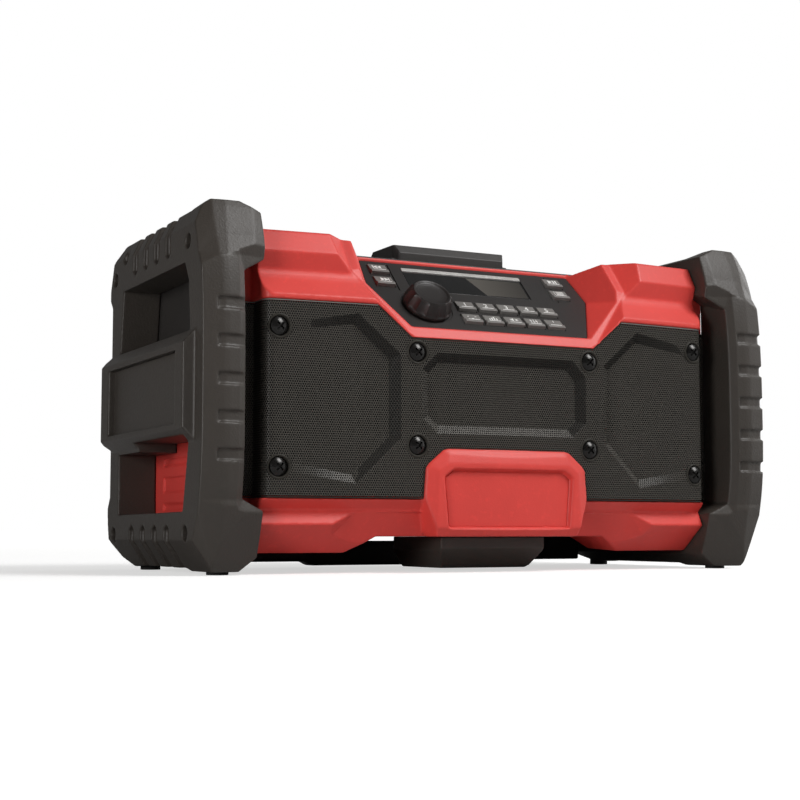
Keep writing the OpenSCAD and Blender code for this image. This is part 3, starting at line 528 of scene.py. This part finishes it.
def onEdge(edge):  # whether an edge lies on the outline of the sheet
    middle = (edge.verts[0].co + edge.verts[1].co) / 2
    x, z = abs(middle.x), middle.z
    outline = grille["outline"]
    starts = [(0, outline[0][1])] + outline
    for (x0, z0), (x1, z1) in zip(starts, outline + [(0, grille["middleTop"])]):
        length = math.hypot(x1 - x0, z1 - z0)
        across = abs((x1 - x0) * (z - z0) - (z1 - z0) * (x - x0)) / length
        along = ((x - x0) * (x1 - x0) + (z - z0) * (z1 - z0)) / length
        if across < slack and -slack < along < length + slack:
            return True
    return False


def makeScrewCups():
    mesh = bmesh.new()
    for side in (-1, 1):
        for x, z in grille["screws"]:
            place = Matrix.Translation((side * x, 0, z)) @ Matrix.Rotation(math.radians(90), 4, "X")
            rim = bmesh.ops.create_circle(mesh, segments=40, radius=grille["cupRim"], matrix=place)["verts"]
            edges = list({edge for corner in rim for edge in corner.link_edges})
            for radius, depth in grille["cupLevels"]:
                corners, edges = grow(mesh, edges)
                for corner in corners:
                    flat = Vector((corner.co.x - side * x, corner.co.z - z)).normalized() * radius
                    corner.co = (side * x + flat.x, depth, z + flat.y)
    for corner in mesh.verts:
        corner.co = onSheet(corner.co)
    bmesh.ops.recalc_face_normals(mesh, faces=mesh.faces)
    piece = addPiece(mesh, "screwCups", "grille", sharp=60)
    # painted shade in the screw cups
    piece.data.materials[0] = grillePaintedShade


def makeGrilleBack():  # the sheet's side returns, in the painted shade
    mesh = readNode("speaker_grille")
    cut(mesh, point(0, grille["returnStart"], 0), (0, 1, 0), clear_inner=True)
    bmesh.ops.holes_fill(mesh, edges=openEdges(mesh), sides=0)
    piece = addPiece(mesh, "grilleBack", "grille", instead=["speaker_grille"], smooth=False)
    piece.data.materials[0] = grillePaintedShade


# painted shade: the closed pits are near black, in place of the dark space seen through open holes
holeShadeShader = Shader("grilleHoleShade", Roughness=0.9)
holeShadeShader.set(Base_Color=holeShadeShader.mix(holeShadeShader.noise(700), (0.004, 0.004, 0.004), (0.010, 0.009, 0.008)))
grilleHoleShade = holeShadeShader.material
# painted shade for slopes facing down or left, also used on the plain border, screw cups and side returns;
# painted highlight for slopes facing up
grillePaintedShade = mouldedPlastic("grillePaintedShade", (0.036, 0.033, 0.028), 0.45, 0.00003, specular=0.1)
grillePaintedHighlight = mouldedPlastic("grillePaintedHighlight", (0.125, 0.115, 0.100), 0.40, 0.00003, specular=0.22)
# painted highlight along the grille's top edge
grilleEdgeHighlight = mouldedPlastic("grilleEdgeHighlight", (0.20, 0.19, 0.175), 0.4)
makePerforated()
makeGrilleEdge()
makeScrewCups()
makeGrilleBack()
print("grille done")


# ---- control panel ----

panelFoot, panelLean = 149.5, 45.5  # millimetres above the ground, and degrees from level
panelFrame = Matrix.Translation(point(0, 0, panelFoot)) @ Matrix.Rotation(math.radians(panelLean), 4, "X")
keyboard = {  # millimetres along the panel from its middle, x to the right and y up
    "width": 13, "height": 9.2, "depth": 5.6, "middle": -0.6, "out": 2.2, "ledge": 2.8, "ledgeWidth": 0.6,
    "drop": 0.75, "slant": 0.6, "taper": 0.955, "draft": 0.35, "round": 0.28,
    "lipMore": 1.6, "lipDepth": 0.8, "lipMiddle": -3.8,
    "keys": {
        "key_1": (-17.2, 24), "key_2": (-2, 24), "key_3": (13.2, 24), "key_4": (28.4, 24),
        "key_5": (43.6, 24), "key_lamp": (-17.2, 11.2), "key_bass": (-2, 11.2), "key_mute": (13.2, 11.2),
        "key_tone": (28.4, 11.2), "key_power": (43.6, 11.2), "key_back": (-67.4, 57),
        "key_forward": (-67.4, 44.4), "key_play": (62.6, 57), "key_mode": (62.6, 44.4)},
    "inkUp": 1.4, "inkDown": 0.98, "inkHeight": 5.4, "inkDepth": 0.12, "iconSize": 1.3,
    # line and highlightDown: the painted highlight bar under each legend, on the key's ledge
    "line": (8.2, 0.45), "highlightDown": 2.15,
}
knob = {  # each level is a height, a radius and how deep the scallops cut
    "place": (-45.5, 22), "scallops": 14, "steps": 12, "sharpness": 0.8,
    "hub": 3, "hubDepth": 8, "hubMiddle": -3.6,
    "levels": [(0.5, 16.0, 0.3), (1.9, 16.0, 0.3), (2.5, 15.7, 0.6), (3.1, 15.6, 1.0), (4.4, 15.4, 1.1),
               (8.6, 14.0, 1.0), (9.7, 13.4, 0.8), (10.5, 12.8, 0.4), (11.0, 12.1, 0.0), (11.0, 11.3, 0.0),
               (10.6, 10.7, 0.0), (10.0, 9.9, 0.0), (9.8, 6.0, 0.0), (9.75, 1.5, 0.0)],
}
display = {"middle": (18.6, 47.6, -0.24), "size": (36, 17.4), "slantBefore": 10, "slant": -0.55}


def onPanel(mesh):
    bmesh.ops.transform(mesh, matrix=panelFrame @ Matrix.Scale(0.001, 4), verts=mesh.verts)


def makeKnob():
    mesh = bmesh.new()
    corners = bmesh.ops.create_circle(mesh, segments=knob["scallops"] * knob["steps"], radius=1)["verts"]
    edges = list({edge for corner in corners for edge in corner.link_edges})
    for index, (height, radius, dip) in enumerate(knob["levels"]):
        if index:
            corners, edges = grow(mesh, edges)
        for corner in corners:
            angle = math.atan2(corner.co.y, corner.co.x)
            reach = radius - dip * abs(math.cos(angle * knob["scallops"] / 2)) ** knob["sharpness"]
            corner.co = (reach * math.cos(angle), reach * math.sin(angle), height)
    bmesh.ops.holes_fill(mesh, edges=openEdges(mesh), sides=0)
    bmesh.ops.create_cone(mesh, cap_ends=True, segments=24, radius1=knob["hub"], radius2=knob["hub"],
                          depth=knob["hubDepth"], matrix=Matrix.Translation((0, 0, knob["hubMiddle"])))
    bmesh.ops.recalc_face_normals(mesh, faces=mesh.faces)
    bmesh.ops.translate(mesh, verts=mesh.verts, vec=(*knob["place"], 0))
    onPanel(mesh)
    addPiece(mesh, "knobShape", "knob", bodyOf["volume_knob"], ["volume_knob"], sharp=38)


def shapeKey(mesh):  # the upper part of a key slants back from a ledge
    keys = keyboard
    half = keys["height"] / 2
    ledge = keys["ledge"] - half
    block(mesh, 0, 0, keys["middle"], (keys["width"], keys["height"], keys["depth"]))
    for place in (ledge, ledge + keys["ledgeWidth"]):
        cut(mesh, (0, place, 0), (0, 1, 0))
    for corner in mesh.verts:
        if corner.co.z > 0:
            if corner.co.y > ledge + keys["ledgeWidth"] / 2:
                corner.co.z -= keys["drop"] + keys["slant"] * (corner.co.y - ledge) / (half - ledge)
            corner.co.x *= keys["taper"]
            if corner.co.y < -half + slack:
                corner.co.y += keys["draft"]
    upper = [edge for edge in mesh.edges if all(corner.co.z > 0 for corner in edge.verts)]
    bmesh.ops.bevel(mesh, geom=upper, offset=keys["round"], offset_type="OFFSET", segments=2, profile=0.5,
                    affect="EDGES", clamp_overlap=True, material=-1)
    more = keys["lipMore"]
    block(mesh, 0, 0, keys["lipMiddle"], (keys["width"] + more, keys["height"] + more, keys["lipDepth"]))


def makeKeys():
    for name, (x, y) in keyboard["keys"].items():
        mesh = bmesh.new()
        shapeKey(mesh)
        bmesh.ops.translate(mesh, verts=mesh.verts, vec=(x, y, 0))
        onPanel(mesh)
        addPiece(mesh, name + "Cap", "key", bodyOf[name], [name], sharp=50)


def bar(mesh, x, y, width, height, turn=0):
    block(mesh, x, y, 0, (width, height, keyboard["inkDepth"]), turn)


def arrow(mesh, x, y, size, turn=0):  # points along +x before the turn
    place = Matrix.Translation((x, y, 0)) @ Matrix.Rotation(math.radians(turn - 90), 4, "Z")
    bmesh.ops.create_cone(mesh, cap_ends=True, segments=3, radius1=size, radius2=size,
                          depth=keyboard["inkDepth"], matrix=place)


def ring(mesh, x, y, radius, line, gap=0):  # the gap is at the top
    start = len(mesh.faces)
    bmesh.ops.create_circle(mesh, cap_ends=True, segments=28, radius=radius,
                            matrix=Matrix.Translation((x, y, 0.05)))
    mesh.faces.ensure_lookup_table()
    disc = mesh.faces[start]
    bmesh.ops.inset_region(mesh, faces=[disc], thickness=line)
    away = [disc] + [face for face in mesh.faces if face is not disc and gap and len(face.verts) == 4
                     and abs(face.calc_center_median().x - x) < gap
                     and face.calc_center_median().y > y + radius * 0.5]
    bmesh.ops.delete(mesh, geom=away, context="FACES")


icons = {  # strokes on the keys without a number: middle x and y, then the size, and the turn in degrees
    "key_play": [(arrow, -1.5, 0, 1.6), (bar, 0.9, 0, 0.7, 2.7), (bar, 2.3, 0, 0.7, 2.7)],
    "key_mode": [(bar, x, y, width, 0.5) for y in (-1.1, 0, 1.1) for x, width in ((0.6, 4.2), (-2.6, 0.6))],
    "key_back": [(arrow, 0.9, 0, 1.5, 180), (arrow, -1.2, 0, 1.5, 180), (bar, -2.7, 0, 0.55, 2.7)],
    "key_forward": [(arrow, -0.9, 0, 1.5), (arrow, 1.2, 0, 1.5), (bar, 2.7, 0, 0.55, 2.7)],
    "key_lamp": [(ring, 0, 0.2, 1.15, 0.4), (bar, 0, -1.45, 1.1, 0.5), (bar, -2.1, 0.3, 0.9, 0.4),
                 (bar, 2.1, 0.3, 0.9, 0.4)],
    "key_bass": [(bar, index * 1.3 - 1.95, tall / 2 - 1.3, 0.7, tall)
                 for index, tall in enumerate((1.0, 1.7, 2.5, 1.4))],
    "key_mute": [(bar, -1.5, 0, 0.9, 1.2), (arrow, -0.7, 0, 1.5, 180), (bar, 1.7, 0, 1.9, 0.42, 45),
                 (bar, 1.7, 0, 1.9, 0.42, -45)],
    "key_tone": [(bar, x, middle, width, height) for x, place in ((-1.6, 0.6), (0, -0.6), (1.6, 0.2))
                 for middle, width, height in ((0, 0.4, 2.8), (place, 1.1, 0.6))],
    "key_power": [(ring, 0, -0.1, 1.4, 0.42, 0.55), (bar, 0, 1.0, 0.45, 1.5)],
}


def addNumber(mesh, text):
    curve = bpy.data.curves.new("number" + text, "FONT")
    curve.body = text
    curve.size = keyboard["inkHeight"]
    curve.align_x = "CENTER"
    curve.align_y = "CENTER"
    curve.resolution_u = 3
    curve.offset = 0.05
    curve.extrude = 0.06
    helper = bpy.data.objects.new("number" + text, curve)
    scene.collection.objects.link(helper)
    bpy.context.view_layer.update()
    flat = helper.evaluated_get(bpy.context.evaluated_depsgraph_get()).to_mesh()
    mesh.from_mesh(flat)
    bpy.data.objects.remove(helper)


def makeLegends():
    slope = math.atan2(keyboard["slant"], keyboard["height"] - keyboard["ledge"])
    for name, (x, y) in keyboard["keys"].items():
        mesh = bmesh.new()
        if name in icons:
            for draw, *values in icons[name]:
                draw(mesh, *values)
            bmesh.ops.scale(mesh, verts=mesh.verts, vec=(keyboard["iconSize"], keyboard["iconSize"], 1))
        else:
            addNumber(mesh, name[-1])
        place = Matrix.Translation((x, y + keyboard["inkUp"], keyboard["out"] - keyboard["inkDown"]))
        bmesh.ops.transform(mesh, matrix=place @ Matrix.Rotation(-slope, 4, "X"), verts=mesh.verts)
        # painted highlight: a light bar along the key's ledge
        block(mesh, x, y - keyboard["highlightDown"], keyboard["out"], (*keyboard["line"], keyboard["inkDepth"]))
        onPanel(mesh)
        piece = addPiece(mesh, name + "Legend", "key", bodyOf[name], smooth=False)
        piece.data.materials[0] = legendInkAndHighlight


def makeDisplay():
    middle = display["middle"]
    mesh = bmesh.new()
    place = Matrix.Translation(middle) @ Matrix.Diagonal((*display["size"], 1, 1))
    bmesh.ops.create_grid(mesh, x_segments=1, y_segments=1, size=0.5, matrix=place)
    for corner in mesh.verts:
        if corner.co.x < display["slantBefore"]:
            corner.co.x += (corner.co.y - middle[1]) * display["slant"]
    onPanel(mesh)
    piece = addPiece(mesh, "displayField", "display", smooth=False)
    piece.data.materials[0] = displayField


# the legends' print, also used for the painted highlight bars
inkShader = Shader("legendInkAndHighlight", Roughness=0.5)
inkGrain = inkShader.noise(900).above(0.45, 0.2)
inkShader.set(Base_Color=inkShader.mix(inkGrain, (0.74, 0.73, 0.70), (0.88, 0.87, 0.84)))
legendInkAndHighlight = inkShader.material
# painted reflection: the display field is brighter towards its left and darker to the right
fieldShader = Shader("displayFieldGlare", Roughness=0.22)
paintedGlare = fieldShader.along(0).ranged(0.0, 0.04, 1.0, 0.0)
fieldShader.set(Base_Color=fieldShader.mix(paintedGlare, (0.034, 0.031, 0.027), (0.095, 0.087, 0.076)))
displayField = fieldShader.material
makeKnob()
makeKeys()
makeLegends()
makeDisplay()
print("control panel done")


# ---- studio ----

studio = {
    "cameraPlace": (-0.4858, -0.9012, 0.0258), "cameraYaw": 26.85, "cameraPitch": 4.89, "lens": 68.51,
    "sensor": 36, "clipStart": 0.01,
    "floorSize": 60, "floorWhite": 0.55, "floorGlow": 0.60, "glowFrom": 0.1, "glowTo": 2.5,
    "glowColour": (1, 0.997, 0.99),
    "lamps": {"keyLamp": ((0.85, -1.1, 1.65), 35, 0.9), "rightLamp": ((2.1, 0.3, 0.6), 14, 1.2),
              "leftLamp": ((-1.15, -0.65, 0.25), 6.5, 0.4)},
    "darkLevel": 0.05, "brightLevel": 0.85, "brightFrom": -0.2, "brightTo": 0.75, "right": 0.75, "away": 0.25,
    "zenithLevel": 0.25, "zenithFrom": 0.15, "zenithTo": 0.6,
}


def addCamera():
    camera = bpy.data.objects.new("camera", bpy.data.cameras.new("camera"))
    scene.collection.objects.link(camera)
    camera.location = studio["cameraPlace"]
    camera.rotation_euler = (math.radians(90 + studio["cameraPitch"]), 0, -math.radians(studio["cameraYaw"]))
    camera.data.lens = studio["lens"]
    camera.data.sensor_width = studio["sensor"]
    camera.data.clip_start = studio["clipStart"]
    scene.camera = camera


def addLamp(name, place, power, size, aim=(0, 0, 0.1)):
    lamp = bpy.data.objects.new(name, bpy.data.lights.new(name, "AREA"))
    lamp.data.energy = power
    lamp.data.size = size
    lamp.location = place
    lamp.rotation_euler = (Vector(aim) - Vector(place)).to_track_quat("-Z", "Y").to_euler()
    scene.collection.objects.link(lamp)


def addFloor():
    bpy.ops.mesh.primitive_plane_add(size=studio["floorSize"])
    floor = bpy.context.object
    floor.name = "floor"
    shader = Shader("floorPaint", Roughness=0.9)
    white = studio["floorWhite"]
    shader.set(Base_Color=(white, white, white), Specular_IOR_Level=0.0)
    far = shader.along(1).ranged(studio["glowFrom"], studio["glowTo"], studio["floorGlow"], 1.0)
    shader.set(Emission_Color=studio["glowColour"], Emission_Strength=shader.cameraRay() * far)
    floor.data.materials.append(shader.material)


def addWorld():
    world = bpy.data.worlds.new("studio")
    scene.world = world
    world.use_nodes = True
    sky = Tree(world.node_tree)
    right, away, up = [sky.along(axis, "Generated") for axis in range(3)]
    level = right * studio["right"] + away * studio["away"]
    level = level.ranged(studio["brightFrom"], studio["brightTo"], studio["darkLevel"], studio["brightLevel"])
    level = level * up.ranged(studio["zenithFrom"], studio["zenithTo"], 1.0, studio["zenithLevel"])
    seen = sky.cameraRay()
    back = sky.tree.nodes["Background"]
    sky.plug(back.inputs["Strength"], seen + (1 - seen) * level)
    sky.plug(back.inputs["Color"], (1, 1, 1))


addCamera()
addFloor()
addWorld()
for name, (place, power, size) in studio["lamps"].items():
    addLamp(name, place, power, size)
scene.view_settings.view_transform = "Standard"
print("studio done")
